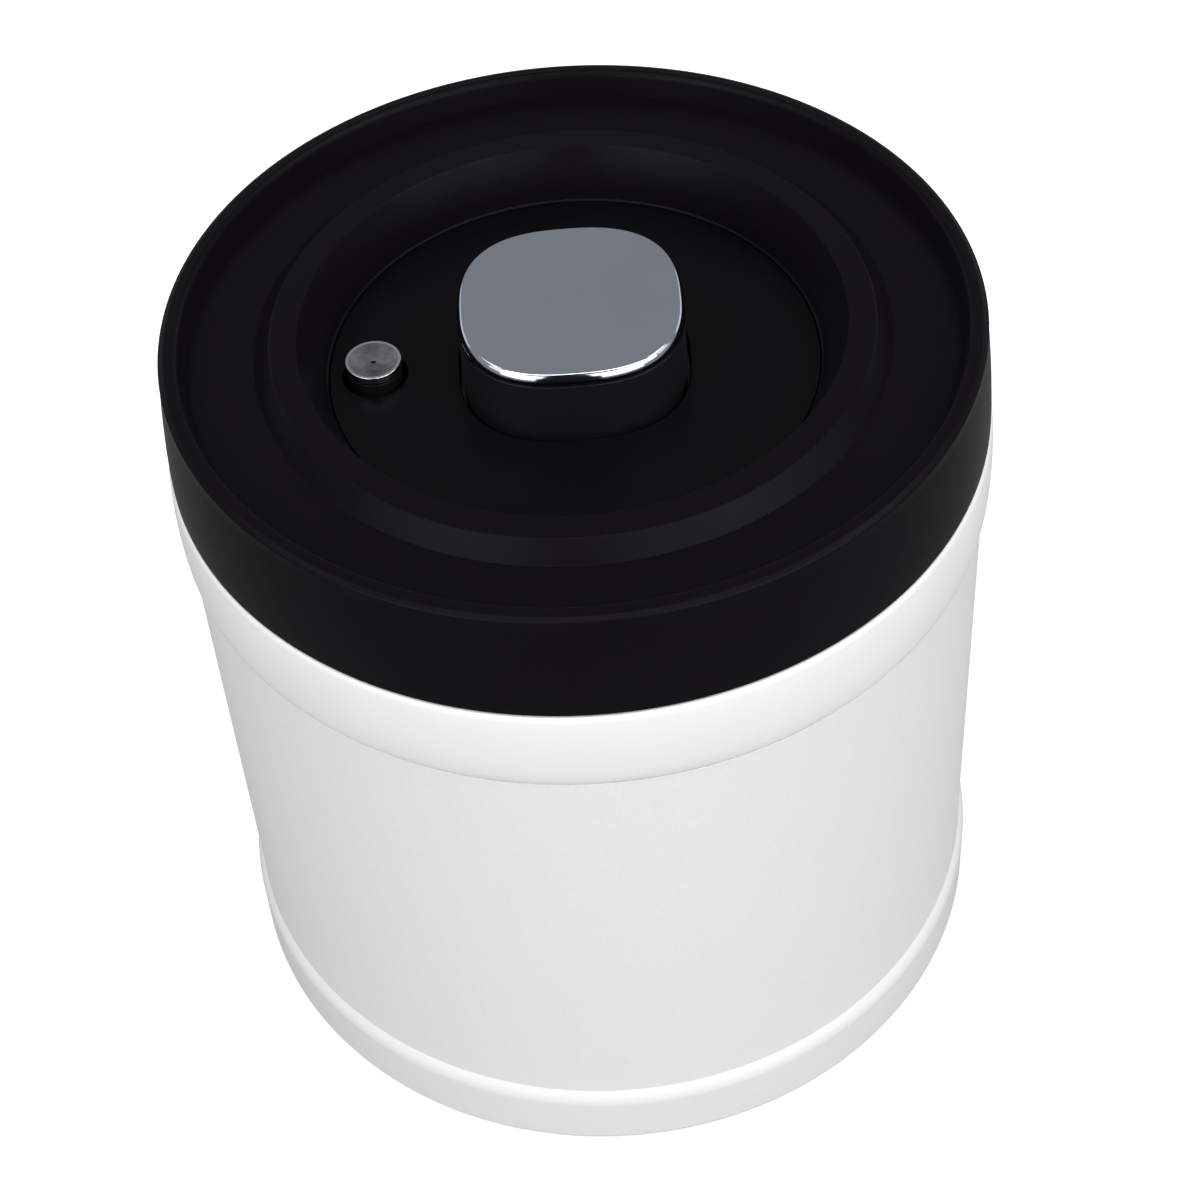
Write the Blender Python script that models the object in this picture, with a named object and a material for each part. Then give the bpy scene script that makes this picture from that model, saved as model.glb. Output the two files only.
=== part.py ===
"""Coffee canister with a hand-pumped vacuum lid.

A powder-coated steel sleeve stands between a moulded foot and a moulded neck ring. A steel
vessel hangs inside it by its rolled lip. The lid lifts off. It carries a press knob, which
works a small air pump, and a release button, which lets the air back in.

Lengths are in millimetres from the floor, and the meshes are scaled to metres. +Z is up,
the origin is the centre of the foot on the floor, and the release button is towards -X.
"""

import math

import bmesh
import bpy
from mathutils import Matrix, Vector

MM = 0.001

# Clearances
SEAT_GAP = 0.3
NECK_GAP = 0.4
KNOB_GAP = 0.45
BUTTON_GAP = 0.65
SEAL_GAP = 0.25
SCREW_GAP = 0.15

# Outside of the canister
SLEEVE_RADIUS = 61.9
SLEEVE_WALL = 0.8
BODY_HEIGHT = 109.0
FOOT_HEIGHT = 13.4
FOOT_BULGE = 1.1
BAND_HEIGHT = 14.6
BAND_BULGE = 1.2
BAND_TOP_INSET = 0.7
LAP_DEPTH = 8.0
MOULDING_WALL = 1.4

# Foot and its pad
PAD_PROUD = 0.5
PAD_THICKNESS = 1.8
PAD_INSET = 7.9
PAD_WIDTH = 10.0
FOOT_FLOOR = 2.0
FOOT_RIB = 2.0

# Inner vessel
JACKET_WIDTH = 4.2
VESSEL_WALL = 0.7
VESSEL_CORNER = 5.0
VESSEL_DISH_INSET = 17.0
VESSEL_DISH = 1.0
LIP_ROLL = 2.4
NECK_WALL = 1.6

# Lid cover
LID_OVERHANG = 0.3
LID_HEIGHT = 18.0
LID_WALL = 2.0
LID_TAPER = 0.45
LID_SHOULDER = 1.35
CREST_ROUND = 1.7
CREST_WIDTH = 1.5
TROUGH_DEPTH = 3.6
CREST_SLOPE = 0.7
COLLAR_SLOPE = 2.3
COLLAR_WIDTH = 4.3
COLLAR_RISE = 2.4
COLLAR_CROWN = 1.3
COLLAR_WALL = 1.8
BOWL_FLARE = 3.4
BOWL_SWEEP = 0.5
DECK_DEPTH = 9.1

# Deck, its ledge, hooks and screws
DECK_THICKNESS = 2.0
LEDGE_WIDTH = 5.9
LEDGE_THICKNESS = 3.0
HOOK_WIDTH = 6.0
HOOK_WALL = 1.6
HOOK_CATCH = 0.9
HOOK_ANGLES = (30, 150, 210, 330)
LID_SCREW_ANGLES = (45, 135, 225, 315)
PUMP_SCREW_ANGLES = (0, 120, 240)
PISTON_SCREW_ANGLES = (90, 270)
SCREW_RADIUS = 1.1
SCREW_HEAD_RADIUS = 2.1
SCREW_HEAD_HEIGHT = 1.5
SCREW_LENGTH = 6.5
BOSS_WALL = 1.6

# Plug under the lid, with its gasket
PLUG_INSET = 3.0
PLUG_WALL = 1.6
PLUG_FLANGE = 1.6
AIRWAY_RADIUS = 9.0
GASKET_THICKNESS = 1.5
GASKET_HEIGHT = 7.2
GASKET_WALL = 1.1

# Pump
CYLINDER_WALL = 1.4
CYLINDER_FLOOR = 1.6
CYLINDER_SEAL_THICKNESS = 1.0
CYLINDER_SEAL_WIDTH = 4.0
EAR_THICKNESS = 2.0
EAR_DROP = 4.9
PISTON_HEIGHT = 4.7
PISTON_RIM = 2.1
PISTON_RIM_GAP = 0.85
PISTON_LAND = 0.8
PISTON_WEB = 1.6
PISTON_WEB_DROP = 1.0
PISTON_GROOVE_DEPTH = 1.3
PISTON_GROOVE_HEIGHT = 1.6
PISTON_SCREW_PLACE = 9.5
PUMP_TRAVEL = 10.0
PUMP_ROOM = 0.5
PUMP_WIRE = 0.9
PUMP_COIL_BOTTOM = 17.0
PUMP_COIL_TOP = 13.6
PUMP_COILS = 3.0

# Valves
INLET_VALVE_RADIUS = 6.0
EXHAUST_VALVE_RADIUS = 4.0
EXHAUST_PLACE = 9.5
EXHAUST_PORT_ANGLES = (0, 120, 240)
EXHAUST_PORT_RADIUS = 0.6
VALVE_STEM_RADIUS = 1.1
VALVE_BARB = 0.6
VALVE_SKIN = 0.7
PORT_RADIUS = 0.9
GRILLE_RADIUS = 13.0
GRILLE_THICKNESS = 1.2
GRILLE_SLOTS = 6
GRILLE_SLOT_WIDTH = 1.2

# Press knob
KNOB_HALF_WIDTH = 16.75
KNOB_SQUARENESS = 2.6
KNOB_PROUD = 1.9
KNOB_WALL = 1.8
KNOB_DRAFT = 0.1
KNOB_CAP_HEIGHT = 2.0
KNOB_CAP_LAND = 0.6
KNOB_CAP_BEVEL = 0.5
KNOB_CAP_SKIN = 0.9
KNOB_CAP_STEP = 0.8

# Release button
BUTTON_INSET = 7.0
BUTTON_CLEARANCE = 0.95
BUTTON_RADIUS = 4.2
BUTTON_PROUD = 0.5
BUTTON_CAP_HEIGHT = 1.3
BUTTON_DISH = 0.6
BUTTON_SHOULDER_DROP = 6.0
BUTTON_TRAVEL = 2.5
GUIDE_WALL = 1.1
GUIDE_REACH = 2.5
SHAFT_RADIUS = 1.5
SHAFT_TAIL = 0.6
SHAFT_BORE = 2.4
RELEASE_BOSS = 1.3
RELEASE_VALVE_RADIUS = 4.6
RELEASE_VALVE_THICKNESS = 1.6
CLIP_RADIUS = 2.7
CLIP_THICKNESS = 0.7
RELEASE_WIRE = 0.5
RELEASE_COIL = 2.9
RELEASE_COILS = 4.5

# Facets
BIG_SIDES = 36
MIDDLE_SIDES = 24
SMALL_SIDES = 12
SCREW_SIDES = 8
FINE_ROUND = 1.25

# Heights that several pieces share
foot_bottom = PAD_PROUD
foot_top = foot_bottom + FOOT_HEIGHT
pad_roof = PAD_THICKNESS + SEAT_GAP
vessel_bottom = pad_roof + FOOT_FLOOR + SEAT_GAP
seam = BODY_HEIGHT - BAND_HEIGHT
shoulder = BODY_HEIGHT - SEAT_GAP
crest = BODY_HEIGHT + LID_HEIGHT
trough = crest - TROUGH_DEPTH
cover_roof = trough - LID_WALL
flange_top = cover_roof - SEAT_GAP
flange_bottom = flange_top - PLUG_FLANGE
lip_top = flange_bottom - 2 * SEAT_GAP - GASKET_THICKNESS
neck_top = lip_top - LIP_ROLL - SEAT_GAP
deck = crest - DECK_DEPTH
deck_bottom = deck - DECK_THICKNESS
ledge_bottom = deck_bottom - LEDGE_THICKNESS
piston_top = deck_bottom - SEAT_GAP
piston_bottom = piston_top - PISTON_HEIGHT
web_top = piston_top - PISTON_WEB_DROP
web_bottom = web_top - PISTON_WEB
cylinder_floor = piston_bottom - PUMP_TRAVEL - PUMP_ROOM
cylinder_bottom = cylinder_floor - CYLINDER_FLOOR
plug_floor = cylinder_bottom - 2 * SEAT_GAP - CYLINDER_SEAL_THICKNESS
plug_bottom = plug_floor - PLUG_WALL
ear_top = deck_bottom - EAR_DROP
knob_top = deck + PUMP_TRAVEL + KNOB_PROUD
cap_bottom = knob_top - KNOB_CAP_HEIGHT
button_top = deck + BUTTON_TRAVEL + BUTTON_PROUD
button_cap_bottom = button_top - BUTTON_CAP_HEIGHT
button_shoulder = deck - BUTTON_SHOULDER_DROP
guide_bottom = button_shoulder - BUTTON_TRAVEL - GUIDE_REACH

# Radii that the canister's pieces share
spigot_radius = SLEEVE_RADIUS - SLEEVE_WALL - SEAT_GAP
spigot_bore = spigot_radius - MOULDING_WALL
vessel_outside = SLEEVE_RADIUS - JACKET_WIDTH
vessel_radius = vessel_outside - VESSEL_WALL
neck_bore = vessel_outside + SEAT_GAP
neck_radius = neck_bore + NECK_WALL
pad_radius = SLEEVE_RADIUS - PAD_INSET

# Radii that the lid's pieces share, from the knob outwards
knob_hole = KNOB_HALF_WIDTH + KNOB_GAP
knob_corner = KNOB_HALF_WIDTH * 2 ** (0.5 - 1 / KNOB_SQUARENESS)
rim_bore = knob_corner + PISTON_RIM_GAP
piston_radius = rim_bore + PISTON_RIM
cylinder_radius = piston_radius + 2 * SEAL_GAP
cylinder_outside = cylinder_radius + CYLINDER_WALL
boss_radius = SCREW_RADIUS + SCREW_GAP + BOSS_WALL
pump_screw_circle = cylinder_outside + boss_radius + SEAT_GAP
guide_bore = BUTTON_RADIUS + BUTTON_GAP
guide_radius = guide_bore + GUIDE_WALL
button_place = cylinder_outside + BUTTON_CLEARANCE + guide_radius
bowl_radius = button_place + BUTTON_INSET
ledge_bore = bowl_radius - LEDGE_WIDTH
lid_screw_circle = (ledge_bore + bowl_radius) / 2
collar_mouth_radius = bowl_radius + BOWL_FLARE
collar_top_radius = collar_mouth_radius + COLLAR_WIDTH
collar_foot_radius = collar_top_radius + COLLAR_SLOPE
lid_radius = SLEEVE_RADIUS + LID_OVERHANG
skirt_bore = neck_radius + NECK_GAP
plug_radius = vessel_radius - PLUG_INSET


for old in list(bpy.data.objects):
    bpy.data.objects.remove(old, do_unlink=True)


def finish(name, colour, roughness, metallic=0.0):
    """A plain Principled material."""
    material = bpy.data.materials.new(name)
    material.use_nodes = True
    shader = material.node_tree.nodes["Principled BSDF"]
    shader.inputs["Base Color"].default_value = (*colour, 1.0)
    shader.inputs["Roughness"].default_value = roughness
    shader.inputs["Metallic"].default_value = metallic
    material.diffuse_color = (*colour, 1.0)
    return material


WHITE_COAT = finish("white_coat", (0.80, 0.80, 0.79), 0.45)
WHITE_PLASTIC = finish("white_plastic", (0.80, 0.80, 0.79), 0.40)
BLACK_PLASTIC = finish("black_plastic", (0.012, 0.011, 0.013), 0.42)
GREY_PLASTIC = finish("grey_plastic", (0.10, 0.10, 0.105), 0.45)
CHROME = finish("chrome", (0.75, 0.76, 0.78), 0.08, 1.0)
STEEL = finish("steel", (0.62, 0.62, 0.60), 0.28, 1.0)
SILICONE = finish("silicone", (0.55, 0.55, 0.54), 0.60)


def joint_frame(name, x, z):
    """An empty on a joint's axis, which the pieces of a moving body hang from."""
    empty = bpy.data.objects.new(name, None)
    empty.empty_display_size = 0.01
    empty.location = (x * MM, 0.0, z * MM)
    bpy.context.scene.collection.objects.link(empty)
    return empty


LID_FRAME = joint_frame("lid_frame", 0.0, BODY_HEIGHT)
KNOB_FRAME = joint_frame("knob_frame", 0.0, deck)
BUTTON_FRAME = joint_frame("button_frame", -button_place, deck)
KNOB_FRAME.parent = LID_FRAME
KNOB_FRAME.matrix_parent_inverse = Matrix.Translation(-LID_FRAME.location)
BUTTON_FRAME.parent = LID_FRAME
BUTTON_FRAME.matrix_parent_inverse = Matrix.Translation(-LID_FRAME.location)
FRAME_PLACES = {
    LID_FRAME: Vector((0.0, 0.0, BODY_HEIGHT * MM)),
    KNOB_FRAME: Vector((0.0, 0.0, deck * MM)),
    BUTTON_FRAME: Vector((-button_place * MM, 0.0, deck * MM)),
}


def place(name, mesh, material=None, frame=None, x=0.0, y=0.0):
    """Links a mesh as a piece, or as a hidden cutter when it has no material."""
    piece = bpy.data.objects.new(name, mesh)
    bpy.context.scene.collection.objects.link(piece)
    piece.location = (x * MM, y * MM, 0.0)
    if material:
        mesh.materials.append(material)
    else:
        piece.hide_render = True
        piece.display_type = "WIRE"
    if frame:
        piece.parent = frame
        piece.matrix_parent_inverse = Matrix.Translation(-FRAME_PLACES[frame])
    return piece


def rounded(corners):
    """The outline through corners (radius, height) or (radius, height, round), with arcs."""
    count = len(corners)
    points = []
    for index, corner in enumerate(corners):
        here = Vector(corner[:2])
        if len(corner) < 3:
            points.append(here)
            continue
        before = Vector(corners[index - 1][:2]) - here
        after = Vector(corners[(index + 1) % count][:2]) - here
        half = before.angle(after) / 2
        reach = min(corner[2] / math.tan(half), 0.48 * before.length, 0.48 * after.length)
        radius = reach * math.tan(half)
        start = here + before.normalized() * reach
        end = here + after.normalized() * reach
        centre = here + (before.normalized() + after.normalized()).normalized() * radius / math.sin(half)
        sweep = (start - centre).angle_signed(end - centre)
        steps = 1 if radius < FINE_ROUND else 2
        for step in range(steps + 1):
            turn = -sweep * step / steps
            points.append(centre + Matrix.Rotation(turn, 2) @ (start - centre))
    return points


def arc(start, end, sag, steps=4):
    """Points after start up to end, on a curve that stands off its chord by sag."""
    first, last = Vector(start), Vector(end)
    side = (last - first).orthogonal().normalized()
    return [
        tuple(first.lerp(last, step / steps) + side * sag * 4 * (step / steps) * (1 - step / steps))
        for step in range(1, steps + 1)
    ]


def turned(name, corners, material=None, sides=MIDDLE_SIDES, frame=None, x=0.0, y=0.0):
    """A revolved piece: its outline is turned round the vertical axis through (x, y)."""
    points = rounded(corners)
    on_axis = abs(points[0].x) < 1e-6 and abs(points[-1].x) < 1e-6
    area = sum(a.x * b.y - b.x * a.y for a, b in zip(points, points[1:] + points[:1]))
    if area > 0:
        points.reverse()
    edges = [(i, i + 1) for i in range(len(points) - 1)]
    if not on_axis:
        edges.append((len(points) - 1, 0))
    mesh = bpy.data.meshes.new(name)
    mesh.from_pydata([(p.x * MM, 0.0, p.y * MM) for p in points], edges, [])
    piece = place(name, mesh, material, frame, x, y)
    screw = piece.modifiers.new("turn", "SCREW")
    screw.axis = "Z"
    screw.angle = math.tau
    screw.steps = screw.render_steps = sides
    screw.use_merge_vertices = True
    screw.merge_threshold = 1e-5
    screw.use_smooth_shade = True
    return piece


def squareness(angle):
    """How far the knob's outline reaches at an angle, as a share of its half width."""
    reach = abs(math.cos(angle)) ** KNOB_SQUARENESS + abs(math.sin(angle)) ** KNOB_SQUARENESS
    return reach ** (-1 / KNOB_SQUARENESS)


def squared(name, corners, material=None, sides=MIDDLE_SIDES, frame=None, square=None):
    """Like turned, but each corner's ring is square like the knob unless square says round."""
    points = rounded(corners)
    square = square or (lambda radius: True)
    body = bmesh.new()
    rings = []
    for point in points:
        ring = []
        for side in range(sides):
            angle = math.tau * side / sides
            reach = point.x * (squareness(angle) if square(point.x) else 1.0)
            ring.append(body.verts.new((reach * math.cos(angle) * MM, reach * math.sin(angle) * MM, point.y * MM)))
        rings.append(ring)
    closed = points[0].x > 0 or points[-1].x > 0
    pairs = list(zip(rings, rings[1:]))
    if closed:
        pairs.append((rings[-1], rings[0]))
    for upper, lower in pairs:
        for side in range(sides):
            after = (side + 1) % sides
            body.faces.new((upper[side], lower[side], lower[after], upper[after]))
    bmesh.ops.remove_doubles(body, verts=body.verts, dist=1e-7)
    bmesh.ops.recalc_face_normals(body, faces=body.faces)
    mesh = bpy.data.meshes.new(name)
    body.to_mesh(mesh)
    body.free()
    mesh.shade_smooth()
    mesh.set_sharp_from_angle(angle=math.radians(35))
    return place(name, mesh, material, frame)


def add_rod(body, x, y, bottom, top, radius, sides=SCREW_SIDES):
    """Adds an upright rod to a helper's bmesh."""
    centre = Matrix.Translation((x * MM, y * MM, (bottom + top) / 2 * MM))
    bmesh.ops.create_cone(
        body,
        cap_ends=True,
        segments=sides,
        radius1=radius * MM,
        radius2=radius * MM,
        depth=(top - bottom) * MM,
        matrix=centre,
    )


def add_prism(body, outline, width, spin=0.0):
    """Adds an upright outline of (radius, height), as thick as width, turned by spin degrees."""
    turn = Matrix.Rotation(math.radians(spin), 3, "Z")
    near = [turn @ Vector((radius * MM, -width / 2 * MM, height * MM)) for radius, height in outline]
    face = body.faces.new([body.verts.new(point) for point in near])
    grown = bmesh.ops.extrude_face_region(body, geom=[face])
    far = [item for item in grown["geom"] if isinstance(item, bmesh.types.BMVert)]
    bmesh.ops.translate(body, vec=turn @ Vector((0, width * MM, 0)), verts=far)
    bmesh.ops.recalc_face_normals(body, faces=body.faces)


def add_block(body, inner, outer, bottom, top, width, spin=0.0):
    """Adds a box that reaches from one radius and height to another."""
    add_prism(body, [(inner, bottom), (outer, bottom), (outer, top), (inner, top)], width, spin)


def combine(piece, operation, body):
    """Adds or cuts all that a helper holds, with one exact Boolean."""
    mesh = bpy.data.meshes.new(f"{piece.name}_{operation.lower()}")
    body.to_mesh(mesh)
    body.free()
    boolean = piece.modifiers.new(operation.lower(), "BOOLEAN")
    boolean.operation = operation
    boolean.solver = "EXACT"
    boolean.use_self = True
    boolean.object = place(mesh.name, mesh)


def on_circle(radius, degrees):
    """The x and y of a place on a circle round the lid's axis."""
    angle = math.radians(degrees)
    return radius * math.cos(angle), radius * math.sin(angle)


def coil(name, wire, bottom, top, start_radius, end_radius, turns, turn_points, frame=None, x=0.0):
    """A spring of round wire, from its bottom coil to its top one, as one curve."""
    steps = round(turns * turn_points)
    curve = bpy.data.curves.new(name, "CURVE")
    curve.dimensions = "3D"
    curve.bevel_depth = wire / 2 * MM
    curve.bevel_resolution = 1
    curve.use_fill_caps = True
    line = curve.splines.new("POLY")
    line.points.add(steps)
    for step, point in enumerate(line.points):
        share = step / steps
        angle = math.tau * turns * share
        radius = start_radius + (end_radius - start_radius) * share
        height = bottom + wire / 2 + (top - bottom - wire) * share
        point.co = (radius * math.cos(angle) * MM, radius * math.sin(angle) * MM, height * MM, 1.0)
    spring = bpy.data.objects.new(name, curve)
    curve.materials.append(STEEL)
    bpy.context.scene.collection.objects.link(spring)
    spring.location = (x * MM, 0.0, 0.0)
    if frame:
        spring.parent = frame
        spring.matrix_parent_inverse = Matrix.Translation(-FRAME_PLACES[frame])
    return spring


def base_pad():
    """Soft ring let into the foot's underside. The canister stands on it."""
    inner = pad_radius - PAD_WIDTH
    turned(
        "base_pad",
        [(inner, PAD_THICKNESS), (pad_radius, PAD_THICKNESS), (pad_radius, 0), (inner, 0)],
        SILICONE,
        BIG_SIDES,
    )


def base_cup():
    """Moulded foot: a lip laps the sleeve outside, and a spigot locates it inside."""
    radius = SLEEVE_RADIUS + FOOT_BULGE
    lip_bore = SLEEVE_RADIUS + SEAT_GAP
    groove_out = pad_radius + SEAT_GAP
    groove_in = pad_radius - PAD_WIDTH - SEAT_GAP
    floor = pad_roof + FOOT_FLOOR
    turned(
        "base_cup",
        [
            (lip_bore, foot_top),
            (lip_bore + (radius - lip_bore) * 0.7, foot_top - 0.35, 0.4),
            (radius, foot_top - 2.6, 3.0),
            (radius, foot_bottom, 1.2),
            (groove_out, foot_bottom),
            (groove_out, pad_roof),
            (groove_in, pad_roof),
            (groove_in, foot_bottom),
            (groove_in - FOOT_RIB, foot_bottom),
            (groove_in - FOOT_RIB, pad_roof),
            (0, pad_roof),
            (0, floor),
            (spigot_bore, floor),
            (spigot_bore, foot_top - FOOT_FLOOR),
            (spigot_radius, foot_top - FOOT_FLOOR),
            (spigot_radius, foot_top - LAP_DEPTH),
            (lip_bore, foot_top - LAP_DEPTH),
        ],
        WHITE_PLASTIC,
        BIG_SIDES,
    )


def outer_sleeve():
    """Powder-coated steel tube, held between the foot and the neck ring."""
    bottom = foot_top - LAP_DEPTH + SEAT_GAP
    top = seam - SEAT_GAP / 2
    bore = SLEEVE_RADIUS - SLEEVE_WALL
    turned(
        "outer_sleeve",
        [(bore, top), (SLEEVE_RADIUS, top), (SLEEVE_RADIUS, bottom), (bore, bottom)],
        WHITE_COAT,
        BIG_SIDES,
    )


def neck_ring():
    """Moulded ring: a swelled band meets the sleeve at a seam, and a neck enters the lid."""
    band = SLEEVE_RADIUS + BAND_BULGE
    bottom = seam + SEAT_GAP / 2
    turned(
        "neck_ring",
        [
            (neck_bore, neck_top),
            (neck_radius, neck_top),
            (neck_radius, shoulder),
            (band - BAND_TOP_INSET, shoulder, 0.5),
            (band, shoulder - BAND_HEIGHT * 0.3, 4.0),
            (band, shoulder - BAND_HEIGHT * 0.6, 6.0),
            (SLEEVE_RADIUS, bottom),
            (spigot_radius, bottom),
            (spigot_radius, bottom - LAP_DEPTH),
            (spigot_bore, bottom - LAP_DEPTH),
            (spigot_bore, shoulder - 2 * MOULDING_WALL),
            (neck_bore, shoulder - MOULDING_WALL),
        ],
        WHITE_PLASTIC,
        BIG_SIDES,
    )


def inner_vessel():
    """Deep-drawn steel vessel, hung by its rolled lip on the neck ring."""
    lip_radius = neck_radius - SEAT_GAP / 2
    dish_radius = vessel_radius - VESSEL_DISH_INSET
    bottom = vessel_bottom
    floor = bottom + VESSEL_WALL
    turned(
        "inner_vessel",
        [
            (vessel_radius, lip_top, 1.0),
            (lip_radius, lip_top, 1.0),
            (lip_radius, lip_top - LIP_ROLL),
            (vessel_outside, lip_top - LIP_ROLL),
            (vessel_outside, bottom, VESSEL_CORNER + VESSEL_WALL),
            (dish_radius, bottom),
            (dish_radius - 2 * VESSEL_DISH, bottom + VESSEL_DISH),
            (0, bottom + VESSEL_DISH),
            (0, floor + VESSEL_DISH),
            (dish_radius - 2 * VESSEL_DISH, floor + VESSEL_DISH),
            (dish_radius, floor),
            (vessel_radius, floor, VESSEL_CORNER),
        ],
        STEEL,
        BIG_SIDES,
    )


def lid_cover():
    """Moulded cover: a skirt, a rounded rim, a trough, a raised collar, and a bowl with a ledge."""
    wall_top = (lid_radius - LID_TAPER, BODY_HEIGHT + LID_HEIGHT * 0.56)
    rim_radius = lid_radius - LID_TAPER - LID_SHOULDER
    rim = (rim_radius, crest - CREST_ROUND)
    crest_in = rim_radius - CREST_ROUND - CREST_WIDTH
    trough_radius = crest_in - CREST_SLOPE
    under_crest = crest - LID_WALL
    collar_top = trough + COLLAR_RISE
    mouth = (collar_mouth_radius, collar_top + COLLAR_CROWN)
    bowl_foot = (bowl_radius, deck)
    seat = deck_bottom - SEAT_GAP
    cover = turned(
        "lid_cover",
        [
            (skirt_bore, BODY_HEIGHT),
            (lid_radius, BODY_HEIGHT, 0.4),
            wall_top,
            *arc(wall_top, rim, -0.35, 2),
            (rim_radius - CREST_ROUND * 0.25, crest - CREST_ROUND * 0.3),
            (rim_radius - CREST_ROUND, crest),
            (crest_in, crest, 0.6),
            (trough_radius, trough),
            (collar_foot_radius, trough - 0.2),
            (collar_top_radius, collar_top, 0.9),
            (*mouth, 0.8),
            *arc(mouth, bowl_foot, BOWL_SWEEP, 3),
            (bowl_radius, seat),
            (ledge_bore, seat),
            (ledge_bore, ledge_bottom),
            (bowl_radius + COLLAR_WALL, ledge_bottom),
            (bowl_radius + COLLAR_WALL, deck - 0.5),
            (collar_mouth_radius + COLLAR_WALL * 0.6, mouth[1] - COLLAR_WALL),
            (collar_top_radius, collar_top - COLLAR_WALL),
            (collar_foot_radius, cover_roof),
            (trough_radius, cover_roof),
            (crest_in, under_crest),
            (skirt_bore, under_crest - COLLAR_WALL),
        ],
        BLACK_PLASTIC,
        BIG_SIDES,
        LID_FRAME,
    )
    cutters = bmesh.new()
    add_rod(cutters, -button_place, 0, ledge_bottom - 1, seat + SEAT_GAP / 2, guide_radius + SEAT_GAP, MIDDLE_SIDES)
    for angle in LID_SCREW_ANGLES:
        x, y = on_circle(lid_screw_circle, angle)
        head_floor = seat - SCREW_HEAD_HEIGHT
        add_rod(cutters, x, y, ledge_bottom - 1, head_floor + SCREW_GAP, SCREW_RADIUS + SCREW_GAP)
        add_rod(cutters, x, y, head_floor - SCREW_GAP, seat + 1, SCREW_HEAD_RADIUS + SCREW_GAP)
    combine(cover, "DIFFERENCE", cutters)


def deck_disc():
    """Flat disc in the bowl: square hole for the knob, guide for the button, hooks and bosses."""
    disc = squared(
        "deck_disc",
        [
            (knob_hole, deck, 0.3),
            (bowl_radius - SEAT_GAP, deck),
            (bowl_radius - SEAT_GAP, deck_bottom),
            (knob_hole, deck_bottom),
        ],
        BLACK_PLASTIC,
        BIG_SIDES,
        LID_FRAME,
        square=lambda radius: radius < (knob_hole + bowl_radius) / 2,
    )
    added, cutters = bmesh.new(), bmesh.new()
    middle = (deck + deck_bottom) / 2
    hook_tip = ledge_bottom - SEAT_GAP
    hook_face = ledge_bore - SEAT_GAP
    hook = [
        (hook_face - HOOK_WALL, middle),
        (hook_face, middle),
        (hook_face, hook_tip),
        (hook_face + SEAT_GAP + HOOK_CATCH, hook_tip),
        (hook_face, hook_tip - HOOK_WALL),
        (hook_face - HOOK_WALL, hook_tip - HOOK_WALL),
    ]
    for angle in HOOK_ANGLES:
        add_prism(added, hook, HOOK_WIDTH, angle)
    for angle in PUMP_SCREW_ANGLES:
        x, y = on_circle(pump_screw_circle, angle)
        bore_top = ear_top + SCREW_LENGTH - EAR_THICKNESS + SEAT_GAP
        add_rod(added, x, y, ear_top + SEAT_GAP, middle, boss_radius)
        add_rod(cutters, x, y, ear_top - 1, bore_top, SCREW_RADIUS + SCREW_GAP)
    add_rod(added, -button_place, 0, guide_bottom, middle, guide_radius, MIDDLE_SIDES)
    add_rod(cutters, -button_place, 0, guide_bottom - 1, deck + 1, guide_bore, MIDDLE_SIDES)
    combine(disc, "UNION", added)
    combine(disc, "DIFFERENCE", cutters)


def screw(name, x, y, seat, direction, frame=LID_FRAME):
    """Pan-head screw. Its head sits on seat, and its shank points up or down from there."""
    tip = seat + direction * SCREW_LENGTH
    crown = seat - direction * SCREW_HEAD_HEIGHT
    turned(
        name,
        [
            (0, crown),
            (SCREW_HEAD_RADIUS * 0.75, crown),
            (SCREW_HEAD_RADIUS, crown + direction * SCREW_HEAD_HEIGHT * 0.4),
            (SCREW_HEAD_RADIUS, seat),
            (SCREW_RADIUS, seat),
            (SCREW_RADIUS, tip - direction * SCREW_RADIUS),
            (0, tip),
        ],
        STEEL,
        SCREW_SIDES,
        frame,
        x,
        y,
    )


def lid_screws():
    """Four screws through the ledge into the plug's posts, hidden by the deck."""
    for number, angle in enumerate(LID_SCREW_ANGLES, 1):
        x, y = on_circle(lid_screw_circle, angle)
        screw(f"lid_screw_{number}", x, y, deck_bottom - SEAT_GAP - SCREW_HEAD_HEIGHT, -1)


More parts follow.
